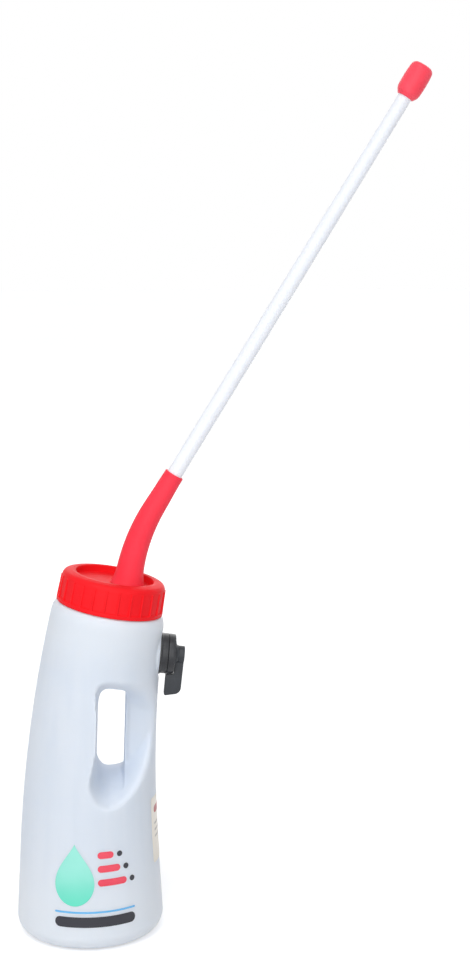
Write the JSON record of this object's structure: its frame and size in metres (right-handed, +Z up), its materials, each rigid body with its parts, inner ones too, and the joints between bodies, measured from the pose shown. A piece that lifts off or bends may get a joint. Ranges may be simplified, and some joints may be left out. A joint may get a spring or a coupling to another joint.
{
  "type": "livestock drencher",
  "caption": "Hand-held calf drench bottle with a grip hole, screw cap, soft elbow spout, long bulb-tipped probe and a rotary air valve that sets the flow.",
  "frame": {"origin": "centre of the base, on the surface the bottle stands on", "axes": "+Z up, +X to the hand hole and valve side, which the neck leans to, and -Y to the printed front"},
  "size_m": [0.3552, 0.1278, 0.7457],
  "materials": {
    "bottle_wall": "translucent white polyethylene, satin",
    "cap_red": "moulded red plastic, satin gloss",
    "spout_soft": "soft red vinyl, satin",
    "tube_white": "white rigid plastic, satin",
    "bulb_soft": "soft red vinyl, satin",
    "valve_black": "moulded black plastic, fine texture",
    "rotor_grey": "moulded grey plastic",
    "seal_black": "black rubber",
    "seal_white": "white silicone rubber",
    "screw_steel": "zinc-plated steel",
    "label_front": "printed film",
    "label_side": "printed sticker"
  },
  "bodies": {
    "bottle": {"bottle": "bottle_wall", "valve_gasket": "seal_white", "valve_body": "valve_black", "valve_lock_nut": "valve_black", "port_seal": "seal_black", "spindle_o_ring": "seal_black", "valve_bonnet": "valve_black", "front_label": "label_front", "side_label": "label_side"},
    "cap_seat": {"cap_gasket": "seal_white"},
    "cap": {"screw_cap": "cap_red"},
    "spout": {"spout": "spout_soft"},
    "probe": {"probe_tube": "tube_white", "probe_bulb": "bulb_soft"},
    "flow_lever": {"flow_rotor": "rotor_grey", "flow_lever": "valve_black", "lever_screw": "screw_steel"},
    "check_valve": {"check_disc": "seal_white"}
  },
  "joints": [
    {"name": "cap_lift", "type": "slide", "parent": "bottle", "child": "cap_seat", "axis": [0.1822, 0, 0.9833], "range_m": [0, 0.0091]},
    {"name": "cap_turn", "type": "hinge", "parent": "cap_seat", "child": "cap", "pos_m": [0.01946, 0, 0.28681], "axis": [0.1822, 0, 0.9833], "range_deg": [0, 540]},
    {"name": "spout_swivel", "type": "hinge", "parent": "cap", "child": "spout", "pos_m": [0.03545, 0, 0.30724], "axis": [0.1822, 0, 0.9833], "continuous": true},
    {"name": "probe_pull", "type": "slide", "parent": "spout", "child": "probe", "axis": [0.5225, 0, 0.8526], "range_m": [0, 0.03]},
    {"name": "flow_lever_turn", "type": "hinge", "parent": "bottle", "child": "flow_lever", "pos_m": [0.06232, 0, 0.24627], "axis": [-0.9951, 0, 0.0985], "range_deg": [0, 135]},
    {"name": "check_disc_lift", "type": "slide", "parent": "bottle", "child": "check_valve", "axis": [-0.9951, 0, 0.0985], "range_m": [0, 0.0015], "stiffness_N_per_m": 30}
  ],
  "couplings": [
    {"joint": "cap_lift", "follows": "cap_turn", "m_per_rad": 0.00095493}
  ]
}
